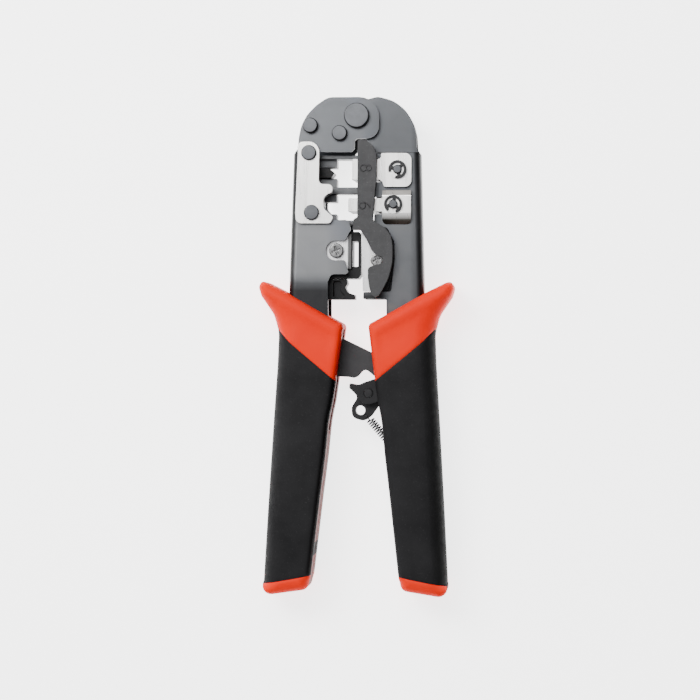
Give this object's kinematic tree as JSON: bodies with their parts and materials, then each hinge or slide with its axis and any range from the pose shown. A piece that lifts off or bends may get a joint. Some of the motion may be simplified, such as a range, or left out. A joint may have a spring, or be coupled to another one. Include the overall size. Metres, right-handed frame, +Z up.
{
  "type": "crimping tool",
  "caption": "Hand crimping tool for modular network and phone plugs: blackened-steel jaws, polished die plates, cutter blades, ratchet, orange and black grips",
  "frame": {"origin": "centre of the bounding box in X and Y, on the surface the tool lies on (Z = 0)", "axes": "+X towards the moving jaw, +Y towards the head (longest extent), +Z up through the thickness (shortest extent)"},
  "size_m": [0.0782, 0.1997, 0.022],
  "materials": {
    "frame_steel": "satin, black oxide with faint temper tints",
    "polished_steel": "polished",
    "blade_steel": "ground",
    "screw_steel": "bright",
    "die_steel": "machined",
    "black_steel": "black oxide",
    "rack_steel": "matte phosphate",
    "spring_steel": "black oxide",
    "guard_plastic": "fine texture",
    "orange_plastic": "satin",
    "black_rubber": "fine grain"
  },
  "bodies": {
    "fixed_jaw": {"left_plate_front": "frame_steel", "left_plate_back": "frame_steel", "left_web": "frame_steel", "die_retainer_front": "polished_steel", "die_retainer_back": "polished_steel", "die_nest_8p": "die_steel", "latch_block": "black_steel", "die_nest_6p": "die_steel", "cutting_block": "black_steel", "fixed_blade": "blade_steel", "fixed_blade_screw": "screw_steel", "cable_hook": "black_steel", "head_rivets": "black_steel", "main_pivot_rivet": "black_steel", "ratchet_rack": "rack_steel", "rack_rivets": "black_steel", "left_grip_core": "orange_plastic", "left_grip_sleeve": "black_rubber", "opening_spring": "spring_steel"},
    "moving_jaw": {"right_plate_front": "frame_steel", "right_plate_back": "frame_steel", "right_web": "frame_steel", "punch_guard": "guard_plastic", "long_blade": "blade_steel", "blade_screw": "screw_steel", "blade_carrier": "black_steel", "pin_8p": "black_steel", "pin_6p": "black_steel", "ram_washers": "polished_steel", "e_clips": "black_steel", "pawl_pin": "black_steel", "spring_anchors": "black_steel", "right_grip_core": "orange_plastic", "right_grip_sleeve": "black_rubber"},
    "ram_8p": {"ram_8p_front": "polished_steel", "ram_8p_back": "polished_steel", "punch_8p": "die_steel"},
    "ram_6p": {"ram_6p_front": "polished_steel", "ram_6p_back": "polished_steel", "punch_6p": "die_steel"},
    "pawl_body": {"pawl": "black_steel", "pawl_spring": "spring_steel"}
  },
  "joints": [
    {"name": "main_pivot", "type": "hinge", "parent": "fixed_jaw", "child": "moving_jaw", "pos_m": [0, 0.0925, 0.011], "axis": [0, 0, 1], "range_deg": [-4.3, 3.5]},
    {"name": "ram_8p_slide", "type": "slide", "parent": "fixed_jaw", "child": "ram_8p", "axis": [1, 0, 0], "range_m": [-0.0017, 0.0014]},
    {"name": "ram_6p_slide", "type": "slide", "parent": "fixed_jaw", "child": "ram_6p", "axis": [1, 0, 0], "range_m": [-0.0028, 0.0023]},
    {"name": "pawl_pivot", "type": "hinge", "parent": "moving_jaw", "child": "pawl_body", "pos_m": [0.005, -0.0183, 0.011], "axis": [0, 0, 1], "range_deg": [-10, 0], "stiffness_Nm_per_rad": 0.02, "deforming": ["pawl_spring"]}
  ],
  "couplings": [
    {"joint": "ram_8p_slide", "follows": "main_pivot", "m_per_rad": 0.0212},
    {"joint": "ram_6p_slide", "follows": "main_pivot", "m_per_rad": 0.035}
  ]
}
